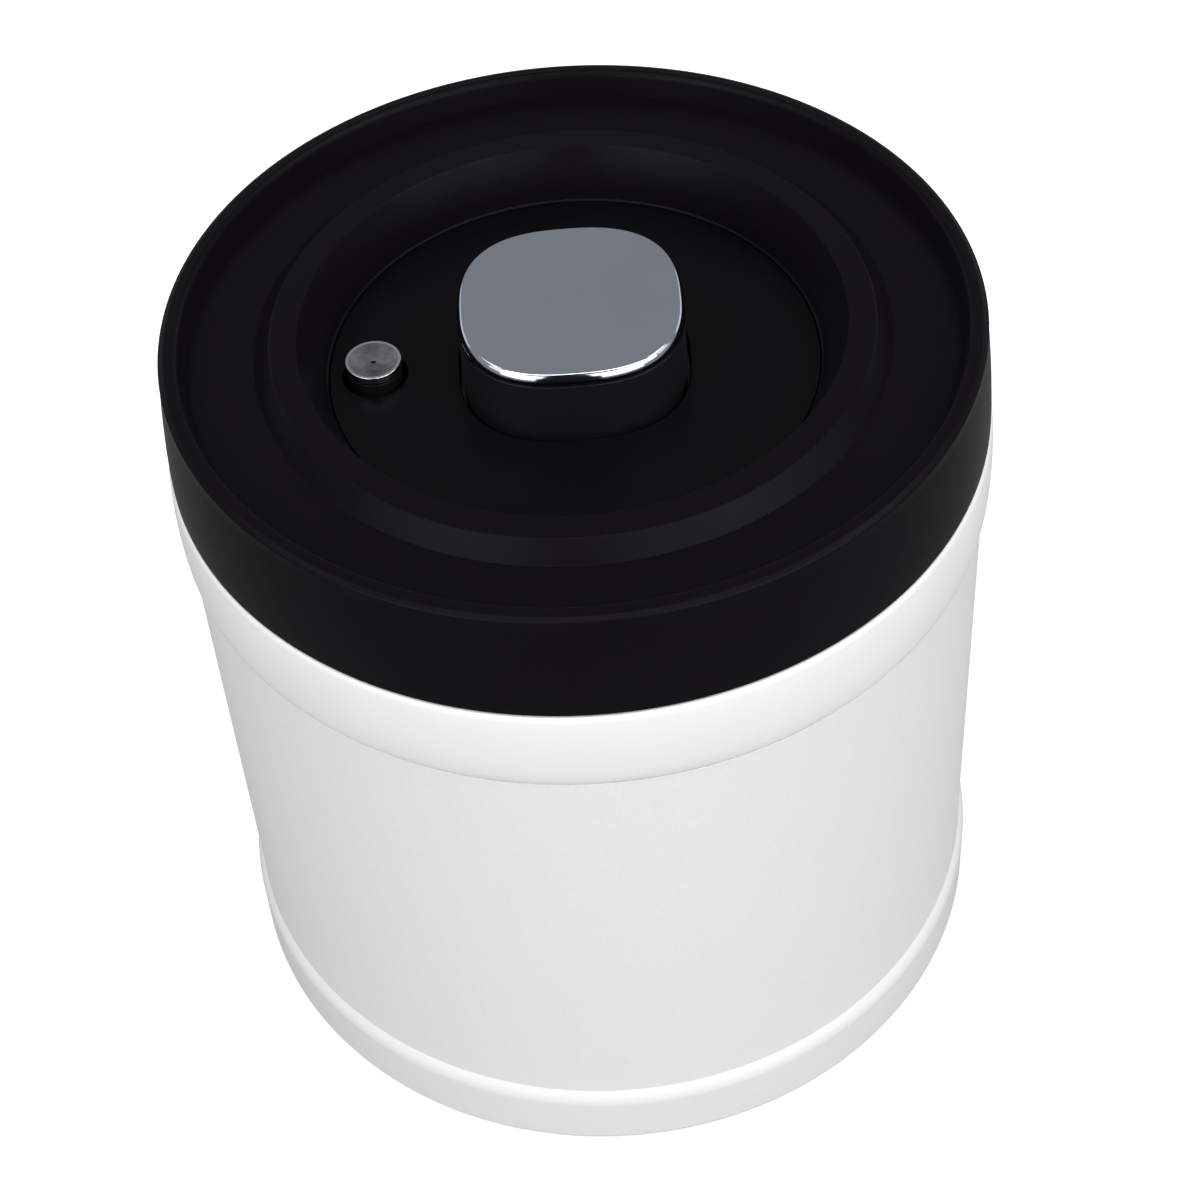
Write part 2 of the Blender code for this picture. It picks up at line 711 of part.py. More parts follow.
def lid_plug():
    """Moulded cup that fills the vessel's mouth and carries the gasket and the pump."""
    bore = plug_radius - PLUG_WALL
    bead_top = flange_bottom - GASKET_HEIGHT - 2 * SEAT_GAP
    flange_radius = neck_radius - SEAT_GAP
    plug = turned(
        "lid_plug",
        [
            (bore, flange_top),
            (flange_radius, flange_top),
            (flange_radius, flange_bottom),
            (plug_radius, flange_bottom),
            (plug_radius, bead_top),
            (plug_radius + GASKET_WALL, bead_top - 0.6),
            (plug_radius, bead_top - 2.4),
            (plug_radius, plug_bottom, 2.0),
            (AIRWAY_RADIUS, plug_bottom),
            (AIRWAY_RADIUS, plug_floor),
            (bore, plug_floor, 1.0),
        ],
        GREY_PLASTIC,
        BIG_SIDES,
        LID_FRAME,
    )
    added, cutters = bmesh.new(), bmesh.new()
    post_top = ledge_bottom - SEAT_GAP
    for angle in LID_SCREW_ANGLES:
        x, y = on_circle(lid_screw_circle, angle)
        pilot_floor = deck_bottom - 2 * SEAT_GAP - SCREW_HEAD_HEIGHT - SCREW_LENGTH
        add_rod(added, x, y, plug_floor - 0.5, post_top, boss_radius)
        add_rod(cutters, x, y, pilot_floor, post_top + 1, SCREW_RADIUS + SCREW_GAP)
    add_rod(added, -button_place, 0, plug_floor - 0.5, plug_floor + RELEASE_BOSS, SHAFT_BORE + BOSS_WALL, SMALL_SIDES)
    add_rod(cutters, -button_place, 0, plug_bottom - 1, plug_floor + RELEASE_BOSS + 1, SHAFT_BORE, SMALL_SIDES)
    combine(plug, "UNION", added)
    combine(plug, "DIFFERENCE", cutters)


def lid_gasket():
    """Silicone ring round the plug: a flange for the vessel's lip and two wiping lips."""
    bore = plug_radius + SEAT_GAP
    sleeve = bore + GASKET_WALL
    lip_reach = vessel_radius - SEAL_GAP
    flange_radius = neck_radius - 2 * SEAT_GAP
    top = flange_bottom - SEAT_GAP
    bottom = top - GASKET_HEIGHT
    turned(
        "lid_gasket",
        [
            (bore, top),
            (flange_radius, top),
            (flange_radius, top - GASKET_THICKNESS),
            (sleeve, top - GASKET_THICKNESS),
            (lip_reach, top - GASKET_HEIGHT * 0.5),
            (sleeve, top - GASKET_HEIGHT * 0.65),
            (lip_reach, top - GASKET_HEIGHT * 0.85),
            (sleeve, bottom),
            (bore, bottom),
        ],
        SILICONE,
        BIG_SIDES,
        LID_FRAME,
    )


def pump_cylinder():
    """Moulded cylinder under the deck, hung by three ears, with ports round its inlet valve."""
    shell = turned(
        "pump_cylinder",
        [
            (cylinder_radius, piston_top),
            (cylinder_outside, piston_top),
            (cylinder_outside, cylinder_bottom),
            (VALVE_STEM_RADIUS + SCREW_GAP, cylinder_bottom),
            (VALVE_STEM_RADIUS + SCREW_GAP, cylinder_floor),
            (cylinder_radius, cylinder_floor),
        ],
        GREY_PLASTIC,
        MIDDLE_SIDES,
        LID_FRAME,
    )
    added, cutters = bmesh.new(), bmesh.new()
    ear_bottom = ear_top - EAR_THICKNESS
    ear_root = cylinder_radius + CYLINDER_WALL / 2
    inset = EAR_THICKNESS * 0.05
    for angle in PUMP_SCREW_ANGLES:
        x, y = on_circle(pump_screw_circle, angle)
        port_x, port_y = on_circle(INLET_VALVE_RADIUS * 0.6, angle + 60)
        add_rod(added, x, y, ear_bottom, ear_top, boss_radius)
        add_block(added, ear_root, pump_screw_circle, ear_bottom + inset, ear_top - inset, 1.6 * boss_radius, angle)
        add_rod(cutters, x, y, ear_bottom - 1, ear_top + 1, SCREW_RADIUS + SCREW_GAP)
        add_rod(cutters, port_x, port_y, cylinder_bottom - 1, cylinder_floor + 1, PORT_RADIUS, 8)
    combine(shell, "UNION", added)
    combine(shell, "DIFFERENCE", cutters)


def pump_screws():
    """Three screws up through the cylinder's ears into the deck's bosses."""
    for number, angle in enumerate(PUMP_SCREW_ANGLES, 1):
        x, y = on_circle(pump_screw_circle, angle)
        screw(f"pump_screw_{number}", x, y, ear_top - EAR_THICKNESS - SCREW_GAP, 1)


def cylinder_seal():
    """Flat silicone ring between the cylinder and the plug's floor."""
    top = cylinder_bottom - SEAT_GAP
    bottom = plug_floor + SEAT_GAP
    outer = cylinder_outside - 0.5
    turned(
        "cylinder_seal",
        [
            (outer - CYLINDER_SEAL_WIDTH, top),
            (outer, top),
            (outer, bottom),
            (outer - CYLINDER_SEAL_WIDTH, bottom),
        ],
        SILICONE,
        MIDDLE_SIDES,
        LID_FRAME,
    )


def umbrella(name, radius, seat, floor_thickness, frame, x=0.0):
    """Silicone check valve: a domed skin over the ports, and a barbed stem through the floor."""
    skin = seat + SCREW_GAP
    below = seat - floor_thickness - SCREW_GAP
    turned(
        name,
        [
            (0, skin + VALVE_SKIN * 1.6),
            (radius * 0.5, skin + VALVE_SKIN * 1.4),
            (radius, skin + 0.3),
            (radius, skin),
            (VALVE_STEM_RADIUS, skin),
            (VALVE_STEM_RADIUS, below),
            (VALVE_STEM_RADIUS + VALVE_BARB, below),
            (VALVE_STEM_RADIUS * 0.6, below - 1.2),
            (0, below - 1.2),
        ],
        SILICONE,
        SMALL_SIDES,
        frame,
        x,
    )


def valve_grille():
    """Slotted disc under the plug that keeps the coffee off the inlet valve."""
    top = plug_bottom - SEAT_GAP
    spigot = AIRWAY_RADIUS - SEAT_GAP
    disc = turned(
        "valve_grille",
        [
            (0, top),
            (spigot - 1.4, top),
            (spigot - 1.4, plug_floor),
            (spigot, plug_floor),
            (spigot, top),
            (GRILLE_RADIUS, top),
            (GRILLE_RADIUS, top - GRILLE_THICKNESS),
            (0, top - GRILLE_THICKNESS),
        ],
        GREY_PLASTIC,
        MIDDLE_SIDES,
        LID_FRAME,
    )
    slots = bmesh.new()
    for number in range(GRILLE_SLOTS):
        angle = 360 * number / GRILLE_SLOTS
        add_block(slots, 2, spigot - 2.2, top - 2 * GRILLE_THICKNESS, top + 1, GRILLE_SLOT_WIDTH, angle)
    combine(disc, "DIFFERENCE", slots)


def springs():
    """The knob's cone spring, which closes flat, and the button's spring round its shaft."""
    coil(
        "pump_spring",
        PUMP_WIRE,
        cylinder_floor + SEAT_GAP,
        web_bottom - SEAT_GAP,
        PUMP_COIL_BOTTOM,
        PUMP_COIL_TOP,
        PUMP_COILS,
        12,
        LID_FRAME,
    )
    coil(
        "release_spring",
        RELEASE_WIRE,
        plug_floor + RELEASE_BOSS + SEAT_GAP,
        button_shoulder - SEAT_GAP,
        RELEASE_COIL,
        RELEASE_COIL,
        RELEASE_COILS,
        8,
        LID_FRAME,
        -button_place,
    )


def knob_body():
    """Square-shouldered black shell of the press knob, with two screw bosses inside."""
    foot = web_top + SEAT_GAP
    top = cap_bottom - SEAT_GAP
    plateau = knob_top - KNOB_CAP_SKIN - SEAT_GAP
    upper = KNOB_HALF_WIDTH - KNOB_DRAFT
    inside = KNOB_HALF_WIDTH - KNOB_WALL
    step = upper - KNOB_CAP_STEP - SEAT_GAP
    body = squared(
        "knob_body",
        [
            (0, plateau),
            (step, plateau),
            (step, top),
            (upper, top, 0.3),
            (KNOB_HALF_WIDTH, foot),
            (inside, foot),
            (inside - KNOB_DRAFT, top - KNOB_WALL, 0.8),
            (0, top - KNOB_WALL),
        ],
        BLACK_PLASTIC,
        BIG_SIDES,
        KNOB_FRAME,
    )
    added, cutters = bmesh.new(), bmesh.new()
    for angle in PISTON_SCREW_ANGLES:
        x, y = on_circle(PISTON_SCREW_PLACE, angle)
        add_rod(added, x, y, foot, top - KNOB_WALL / 2, boss_radius)
        add_rod(cutters, x, y, foot - 1, web_bottom + SCREW_LENGTH + SEAT_GAP, SCREW_RADIUS + SCREW_GAP)
    combine(body, "UNION", added)
    combine(body, "DIFFERENCE", cutters)


def knob_cap():
    """Chromed cap over the top of the knob."""
    half = KNOB_HALF_WIDTH - KNOB_DRAFT
    squared(
        "knob_cap",
        [
            (0, knob_top),
            (half - KNOB_CAP_BEVEL, knob_top),
            (half, cap_bottom + KNOB_CAP_LAND, 2.0),
            (half, cap_bottom),
            (half - KNOB_CAP_STEP, cap_bottom),
            (half - KNOB_CAP_STEP, knob_top - KNOB_CAP_SKIN),
            (0, knob_top - KNOB_CAP_SKIN),
        ],
        CHROME,
        BIG_SIDES,
        KNOB_FRAME,
    )


def pump_piston():
    """Piston under the knob: a rim with the seal's groove, and a web with the exhaust ports."""
    groove_bottom = piston_bottom + PISTON_LAND
    groove_top = groove_bottom + PISTON_GROOVE_HEIGHT
    groove = piston_radius - PISTON_GROOVE_DEPTH
    piston = turned(
        "pump_piston",
        [
            (0, web_top),
            (rim_bore, web_top),
            (rim_bore, piston_top),
            (piston_radius, piston_top),
            (piston_radius, groove_top),
            (groove, groove_top),
            (groove, groove_bottom),
            (piston_radius, groove_bottom),
            (piston_radius, piston_bottom),
            (rim_bore, piston_bottom),
            (rim_bore, web_bottom),
            (0, web_bottom),
        ],
        GREY_PLASTIC,
        MIDDLE_SIDES,
        KNOB_FRAME,
    )
    cutters = bmesh.new()
    below, above = web_bottom - 1, web_top + 1
    add_rod(cutters, EXHAUST_PLACE, 0, below, above, VALVE_STEM_RADIUS + SCREW_GAP)
    for angle in EXHAUST_PORT_ANGLES:
        x, y = on_circle(EXHAUST_VALVE_RADIUS * 0.65, angle)
        add_rod(cutters, EXHAUST_PLACE + x, y, below, above, EXHAUST_PORT_RADIUS, 8)
    for angle in PISTON_SCREW_ANGLES:
        x, y = on_circle(PISTON_SCREW_PLACE, angle)
        add_rod(cutters, x, y, below, above, SCREW_RADIUS + SCREW_GAP)
    combine(piston, "DIFFERENCE", cutters)


def piston_screws():
    """Two screws up through the piston's web into the knob's bosses."""
    for number, angle in enumerate(PISTON_SCREW_ANGLES, 1):
        x, y = on_circle(PISTON_SCREW_PLACE, angle)
        screw(f"piston_screw_{number}", x, y, web_bottom - SCREW_GAP, 1, KNOB_FRAME)


def piston_seal():
    """Silicone ring in the piston's groove, with a lip that wipes the cylinder."""
    bore = piston_radius - PISTON_GROOVE_DEPTH + SCREW_GAP
    bottom = piston_bottom + PISTON_LAND + SCREW_GAP
    top = bottom + PISTON_GROOVE_HEIGHT - 2 * SCREW_GAP
    lip = cylinder_radius - SEAL_GAP
    turned(
        "piston_seal",
        [
            (bore, top),
            (piston_radius, top),
            (lip, (top + bottom) / 2 + 0.2),
            (lip, bottom + 0.2),
            (piston_radius, bottom),
            (bore, bottom),
        ],
        SILICONE,
        MIDDLE_SIDES,
        KNOB_FRAME,
    )


def button_cap():
    """Chromed cap of the release button: a beaded edge round a turned, dished top."""
    turned(
        "button_cap",
        [
            (0, button_top - BUTTON_DISH - 0.25),
            (0.5, button_top - BUTTON_DISH),
            (BUTTON_RADIUS * 0.5, button_top - BUTTON_DISH * 0.55),
            (BUTTON_RADIUS - 0.6, button_top - 0.15),
            (BUTTON_RADIUS, button_top, 0.3),
            (BUTTON_RADIUS, button_cap_bottom),
            (0, button_cap_bottom),
        ],
        CHROME,
        MIDDLE_SIDES,
        BUTTON_FRAME,
        -button_place,
    )


def button_stem():
    """Black stem of the release button, with the shaft that pushes its valve open."""
    top = button_cap_bottom - SEAT_GAP
    tip = plug_bottom - 2 * SEAT_GAP - RELEASE_VALVE_THICKNESS - CLIP_THICKNESS - SHAFT_TAIL
    radius = BUTTON_RADIUS - 0.15
    turned(
        "button_stem",
        [
            (0, top),
            (radius, top),
            (radius, button_shoulder),
            (SHAFT_RADIUS, button_shoulder),
            (SHAFT_RADIUS, tip),
            (0, tip),
        ],
        BLACK_PLASTIC,
        SMALL_SIDES,
        BUTTON_FRAME,
        -button_place,
    )


def release_valve():
    """Silicone disc on the shaft, which closes the plug's hole from below."""
    top = plug_bottom - SEAT_GAP
    bore = SHAFT_RADIUS + SCREW_GAP
    turned(
        "release_valve",
        [
            (bore, top),
            (RELEASE_VALVE_RADIUS, top),
            (RELEASE_VALVE_RADIUS, top - RELEASE_VALVE_THICKNESS * 0.4),
            (SHAFT_BORE, top - RELEASE_VALVE_THICKNESS),
            (bore, top - RELEASE_VALVE_THICKNESS),
        ],
        SILICONE,
        SMALL_SIDES,
        BUTTON_FRAME,
        -button_place,
    )


def valve_clip():
    """Steel push-on clip that holds the valve on the shaft."""
    top = plug_bottom - 2 * SEAT_GAP - RELEASE_VALVE_THICKNESS
    bore = SHAFT_RADIUS + SCREW_GAP
    turned(
        "valve_clip",
        [(bore, top), (CLIP_RADIUS, top), (CLIP_RADIUS, top - CLIP_THICKNESS), (bore, top - CLIP_THICKNESS)],
        STEEL,
        SMALL_SIDES,
        BUTTON_FRAME,
        -button_place,
    )


base_pad()
base_cup()
outer_sleeve()
neck_ring()
inner_vessel()
lid_plug()
lid_gasket()
cylinder_seal()
valve_grille()
lid_cover()
lid_screws()
pump_cylinder()
pump_screws()
umbrella("inlet_valve", INLET_VALVE_RADIUS, cylinder_floor, CYLINDER_FLOOR, LID_FRAME)
deck_disc()
springs()
pump_piston()
piston_seal()
piston_screws()
umbrella("exhaust_valve", EXHAUST_VALVE_RADIUS, web_top, PISTON_WEB, KNOB_FRAME, EXHAUST_PLACE)
knob_body()
knob_cap()
button_stem()
button_cap()
release_valve()
valve_clip()
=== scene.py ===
import math

import bmesh
import bpy
from mathutils import Matrix, Vector


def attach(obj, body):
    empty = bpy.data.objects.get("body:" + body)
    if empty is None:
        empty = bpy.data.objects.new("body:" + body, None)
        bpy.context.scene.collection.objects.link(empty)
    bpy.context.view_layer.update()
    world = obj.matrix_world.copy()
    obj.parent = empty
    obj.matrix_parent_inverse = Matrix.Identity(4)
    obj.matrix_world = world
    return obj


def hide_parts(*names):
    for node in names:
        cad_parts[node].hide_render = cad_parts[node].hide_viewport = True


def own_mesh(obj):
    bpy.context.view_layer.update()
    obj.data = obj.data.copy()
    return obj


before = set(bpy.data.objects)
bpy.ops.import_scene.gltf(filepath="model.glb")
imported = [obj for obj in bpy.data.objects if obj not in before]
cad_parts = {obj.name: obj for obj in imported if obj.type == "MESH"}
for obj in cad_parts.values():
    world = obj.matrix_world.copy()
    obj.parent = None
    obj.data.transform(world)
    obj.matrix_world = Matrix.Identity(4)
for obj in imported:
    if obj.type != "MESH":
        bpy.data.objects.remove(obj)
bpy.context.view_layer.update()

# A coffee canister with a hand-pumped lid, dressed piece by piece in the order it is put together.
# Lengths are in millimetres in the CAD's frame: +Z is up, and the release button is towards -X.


# Pad: a soft silicone ring, moulded in one piece and pressed into the groove under the foot.
# The canister stands on it.

MM = 0.001
FULL_SIDES = 192
HIDDEN_SIDES = 96
FACET = math.radians(8)
SHARP = math.radians(32)


class Signal:
    """A socket in a finish's graph. Arithmetic on it adds Math nodes."""

    def __init__(self, finish, socket):
        self.finish = finish
        self.socket = socket

    def math(self, operation, *values):
        return self.finish.node("Math", {"operation": operation}, dict(enumerate(values)))

    def __add__(self, other):
        return self.math("ADD", self, other)

    def __sub__(self, other):
        return self.math("SUBTRACT", self, other)

    def __rsub__(self, other):
        return self.math("SUBTRACT", other, self)

    def __mul__(self, other):
        return self.math("MULTIPLY", self, other)

    __radd__ = __add__
    __rmul__ = __mul__


class Finish:
    """A material, with the graph that varies it over the surface."""

    def __init__(self, name, **fixed):
        self.material = bpy.data.materials.new(name)
        self.material.use_nodes = True
        self.tree = self.material.node_tree
        self.shader = self.tree.nodes["Principled BSDF"]
        for socket, value in fixed.items():
            self.shader.inputs[socket.replace("_", " ")].default_value = value

    def feed(self, socket, value):
        if isinstance(value, Signal):
            self.tree.links.new(value.socket, socket)
        elif socket.type == "RGBA":
            socket.default_value = (*value, 1.0)
        else:
            socket.default_value = value

    def node(self, kind, settings=None, inputs=None, output=0):
        """Adds a node, sets it up, then gives its sockets their values or links."""
        node = self.tree.nodes.new("ShaderNode" + kind)
        for key, value in (settings or {}).items():
            if key == "stops":
                while len(node.color_ramp.elements) < len(value):
                    node.color_ramp.elements.new(1.0)
                for element, (place, shade) in zip(node.color_ramp.elements, value):
                    element.position = place
                    element.color = (shade, shade, shade, 1.0)
            else:
                setattr(node, key, value)
        for key, value in (inputs or {}).items():
            self.feed(node.inputs[key], value)
        return Signal(self, node.outputs[output])

    def here(self):
        """The point on the piece, in its own metres."""
        return self.node("TexCoord", output="Object")

    def noise(self, size, detail=2.0, point=None):
        """Soft mottling from 0 to 1, whose spots are about size millimetres across."""
        inputs = {"Vector": point or self.here(), "Scale": 1 / (size * MM), "Detail": detail}
        return self.node("TexNoise", None, inputs)

    def blend(self, share, first, second):
        """A colour between two, by a share from 0 to 1."""
        # A Mix node keeps its colours in sockets 6 and 7, and gives the mixed one in its output 2.
        return self.node("Mix", {"data_type": "RGBA"}, {0: share, 6: first, 7: second}, 2)

    def raised(self, height, depth, strength):
        """Bumps of a height from 0 to 1 that stand depth millimetres proud."""
        inputs = {"Height": height, "Distance": depth * MM, "Strength": strength}
        return self.node("Bump", None, inputs)

    def give(self, **sockets):
        """Feeds the shader, and returns the finished material."""
        for socket, value in sockets.items():
            self.feed(self.shader.inputs[socket.replace("_", " ")], value)
        return self.material


def silicone(name, shade):
    """Soft matte rubber with a faint dusty bloom."""
    finish = Finish(name, Specular_IOR_Level=0.35)
    dust = finish.noise(3.0, 4.0)
    grain = finish.noise(0.12)
    bloom = tuple(part * 1.12 for part in shade)
    return finish.give(
        Base_Color=finish.blend(dust, shade, bloom),
        Roughness=dust * 0.12 + 0.52,
        Normal=finish.raised(grain, 0.01, 0.35),
    )


def rounded(corners):
    """A cross-section through corners of (radius, height) or (radius, height, round)."""
    points = []
    for index, corner in enumerate(corners):
        here = Vector(corner[:2])
        if len(corner) < 3:
            points.append(here)
            continue
        before = Vector(corners[index - 1][:2]) - here
        after = Vector(corners[(index + 1) % len(corners)][:2]) - here
        half = before.angle(after) / 2
        reach = min(corner[2] / math.tan(half), 0.48 * before.length, 0.48 * after.length)
        radius = reach * math.tan(half)
        start = here + before.normalized() * reach
        end = here + after.normalized() * reach
        inwards = (before.normalized() + after.normalized()).normalized()
        centre = here + inwards * radius / math.sin(half)
        sweep = (start - centre).angle_signed(end - centre)
        steps = max(3, math.ceil(abs(sweep) / FACET))
        for step in range(steps + 1):
            turn = Matrix.Rotation(-sweep * step / steps, 2)
            points.append(centre + turn @ (start - centre))
    return points


def sweep_rings(corners, sides, reach=None):
    """A closed body whose cross-section is swept round the axis, through rings of points."""
    body = bmesh.new()
    rings = []
    for point in rounded(corners):
        if point.x < 1e-6:
            rings.append([body.verts.new((0.0, 0.0, point.y * MM))])
            continue
        ring = []
        for side in range(sides):
            angle = math.tau * side / sides
            radius = point.x * (reach(angle, point.x) if reach else 1.0) * MM
            place = (radius * math.cos(angle), radius * math.sin(angle), point.y * MM)
            ring.append(body.verts.new(place))
        rings.append(ring)
    for upper, lower in zip(rings, rings[1:] + rings[:1]):
        if len(upper) == len(lower) == 1:
            continue
        for side in range(sides):
            after = (side + 1) % sides
            corners_of_face = [upper[side % len(upper)], lower[side % len(lower)]]
            if len(lower) > 1:
                corners_of_face.append(lower[after])
            if len(upper) > 1:
                corners_of_face.append(upper[after])
            body.faces.new(corners_of_face)
    bmesh.ops.recalc_face_normals(body, faces=body.faces)
    return body


def make_piece(name, body, finish, carrier, nodes=(), x=0.0):
    """A finished piece: it shines smoothly, rides on its body and stands for its CAD nodes."""
    mesh = bpy.data.meshes.new(name)
    body.to_mesh(mesh)
    body.free()
    mesh.shade_smooth()
    mesh.set_sharp_from_angle(angle=SHARP)
    mesh.materials.append(finish)
    piece = bpy.data.objects.new(name, mesh)
    bpy.context.scene.collection.objects.link(piece)
    piece.location.x = x * MM
    even = piece.modifiers.new("even shading", "WEIGHTED_NORMAL")
    even.keep_sharp = True
    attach(piece, carrier)
    if nodes:
        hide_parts(*nodes)
    return piece


PAD_SILICONE = silicone("pad_silicone", (0.44, 0.44, 0.43))
make_piece(
    "soft_pad",
    sweep_rings(
        [(44.0, 1.8, 0.2), (54.0, 1.8, 0.2), (54.0, 0.0, 0.4), (44.0, 0.0, 0.4)],
        FULL_SIDES,
    ),
    PAD_SILICONE,
    "canister",
    ["base_pad"],
)


# Foot: a white moulding that laps the sleeve outside, with a soft rounded shoulder, and holds it
# inside with a spigot. It is glued on. Its satin skin is smoother than the sleeve's coat.


def white_skin(name, shade, grain_size, grain_depth, grain_show, roughness):
    """Satin white with a fine grain, a little mottled, as coated steel and its mouldings are."""
    finish = Finish(name, Specular_IOR_Level=0.42)
    grain = finish.noise(grain_size, 3.0)
    cloud = finish.noise(14.0, 3.0)
    specks = finish.node("ValToRGB", {"stops": [(0.34, 0.0), (0.62, 1.0)]}, {"Fac": grain})
    mixed = specks * grain_show + cloud * (1.0 - grain_show)
    light = (shade + 0.045, shade + 0.045, shade + 0.04)
    return finish.give(
        Base_Color=finish.blend(mixed, (shade, shade, shade), light),
        Roughness=roughness + grain * 0.10 + cloud * 0.05,
        Normal=finish.raised(grain, grain_depth, 0.5),
    )


def bezier(start, pull, push, end, steps):
    """Points after start up to end, along a curve that leaves and arrives through two handles."""
    points = []
    for step in range(1, steps + 1):
        t = step / steps
        u = 1.0 - t
        points.append(
            tuple(
                u**3 * a + 3 * u * u * t * b + 3 * u * t * t * c + t**3 * d
                for a, b, c, d in zip(start, pull, push, end)
            )
        )
    return points


FOOT_WHITE = white_skin("foot_white", 0.81, 0.30, 0.010, 0.35, 0.34)
LAP = (61.92, 13.7)
SHOULDER_FOOT = (63.0, 10.6)
make_piece(
    "foot",
    sweep_rings(
        [
            (61.92, 13.95, 0.01),
            LAP,
            *bezier(LAP, (62.11, 13.15), (62.9, 12.4), SHOULDER_FOOT, 14),
            (63.0, 0.5, 1.2),
            (54.3, 0.5, 0.3),
            (54.3, 2.1),
            (43.7, 2.1),
            (43.7, 0.5, 0.3),
            (41.7, 0.5, 0.3),
            (41.7, 2.1, 0.4),
            (0.0, 2.1),
            (0.0, 4.1),
            (59.4, 4.1, 0.6),
            (59.4, 11.9),
            (60.8, 11.9, 0.2),
            (60.8, 5.9),
            (61.95, 5.9),
        ],
        FULL_SIDES,
    ),
    FOOT_WHITE,
    "canister",
    ["base_cup"],
)


# Sleeve: the canister's outer wall, a rolled and welded steel tube with a white powder coat.
# The foot and the neck ring hold it between them. The coat's grain shows from close by.

POWDER_COAT = white_skin("powder_coat", 0.81, 0.42, 0.022, 0.7, 0.42)
make_piece(
    "coated_sleeve",
    sweep_rings([(61.1, 93.7), (61.9, 93.7, 0.12), (61.9, 6.2), (61.1, 6.2)], FULL_SIDES),
    POWDER_COAT,
    "canister",
    ["outer_sleeve"],
)


# Neck ring: a white moulding whose swelled band meets the sleeve at a crisp seam. Its spigot goes
# down inside the sleeve, and its neck goes up inside the lid's skirt.

# The band's white is painted lighter than the foot's, though both are one moulding: painted light
# where light falls on the band.
PAINTED_LIGHT_BAND_WHITE = white_skin("band_white_painted_light", 0.865, 0.30, 0.010, 0.35, 0.34)
BAND_FOOT = (61.93, 94.0)
BAND_TOP = (62.5, 108.2)
make_piece(
    "neck_band",
    sweep_rings(
        [
            (60.8, 94.0),
            BAND_FOOT,
            *bezier(BAND_FOOT, (62.95, 94.4), (63.12, 103.4), BAND_TOP, 26),
            (62.2, 108.7, 0.3),
            (59.6, 108.7, 0.3),
            (59.6, 114.7, 0.4),
            (58.0, 114.7, 0.3),
            (58.0, 107.3),
            (59.4, 105.9),
            (59.4, 86.5),
            (60.8, 86.5),
        ],
        FULL_SIDES,
    ),
    PAINTED_LIGHT_BAND_WHITE,
    "canister",
    ["neck_ring"],
)


# Inner vessel: deep-drawn stainless steel with a rolled lip and a dished floor, brushed round as it
# spins on the lathe. It hangs from the neck by its lip and holds the coffee.


def off_axis(finish):
    """How far the point is from the piece's axis, and how high it is."""
    x, y, z = (
        finish.node("SeparateXYZ", None, {"Vector": finish.here()}, output) for output in range(3)
    )
    squared = x * x + y * y
    return squared.math("SQRT", squared), z


def turned_steel(name, shade, mark_size, roughness):
    """Stainless steel brushed round its axis: marks run round, close together up the wall."""
    finish = Finish(name, Metallic=1.0)
    radius, z = off_axis(finish)
    along = finish.node("CombineXYZ", None, {"X": radius, "Y": z, "Z": 0.0})
    marks = finish.noise(mark_size, 5.0, along)
    tone = tuple(part * 0.84 for part in shade)
    return finish.give(
        Base_Color=finish.blend(marks, tone, shade),
        Roughness=marks * 0.16 + roughness,
        Normal=finish.raised(marks, 0.006, 0.35),
    )


BRUSHED_STEEL = turned_steel("brushed_steel", (0.64, 0.64, 0.63), 0.25, 0.22)
make_piece(
    "steel_vessel",
    sweep_rings(
        [
            (57.0, 117.4, 1.1),
            (59.45, 117.4, 1.1),
            (59.45, 115.0, 0.6),
            (57.7, 115.0),
            (57.7, 4.4, 5.7),
            (40.0, 4.4, 0.8),
            (38.0, 5.4, 0.8),
            (0.0, 5.4),
            (0.0, 6.1),
            (38.0, 6.1, 1.2),
            (40.0, 5.1, 1.2),
            (57.0, 5.1, 5.0),
        ],
        FULL_SIDES,
    ),
    BRUSHED_STEEL,
    "canister",
    ["inner_vessel"],
)


# Plug: a dark grey moulded cup that fills the vessel's mouth. It carries the gasket and the pump,
# and four posts inside take the screws that hold it to the cover.


def moulded(name, dark, light, grain_size, roughness, specular, grain_depth):
    """Moulded plastic with a fine spark-eroded grain and faint cloudiness from the flow."""
    finish = Finish(name, Specular_IOR_Level=specular)
    grain = finish.noise(grain_size, 2.0)
    cloud = finish.noise(9.0, 4.0)
    return finish.give(
        Base_Color=finish.blend(cloud * 0.7 + grain * 0.3, dark, light),
        Roughness=roughness + grain * 0.08 + cloud * 0.05,
        Normal=finish.raised(grain, grain_depth, 0.4),
    )


def rod(body, x, y, bottom, top, radius, sides=32):
    """Adds an upright rod to a helper, for a post or for a hole that is cut."""
    bmesh.ops.create_cone(
        body,
        cap_ends=True,
        segments=sides,
        radius1=radius * MM,
        radius2=radius * MM,
        depth=(top - bottom) * MM,
        matrix=Matrix.Translation((x * MM, y * MM, (bottom + top) / 2 * MM)),
    )


def combined(base, added, cutters):
    """A body with helpers joined on and then others cut out, each in one exact Boolean."""
    objects = []
    for body in (base, added, cutters):
        mesh = bpy.data.meshes.new("helper")
        body.to_mesh(mesh)
        body.free()
        objects.append(bpy.data.objects.new("helper", mesh))
        bpy.context.scene.collection.objects.link(objects[-1])
    for helper, operation in zip(objects[1:], ("UNION", "DIFFERENCE")):
        if not helper.data.vertices:
            continue
        boolean = objects[0].modifiers.new(operation, "BOOLEAN")
        boolean.operation = operation
        boolean.solver = "EXACT"
        boolean.object = helper
    graph = bpy.context.evaluated_depsgraph_get()
    graph.update()
    result = bmesh.new()
    result.from_mesh(objects[0].evaluated_get(graph).to_mesh())
    for helper in objects:
        bpy.data.objects.remove(helper, do_unlink=True)
    return result


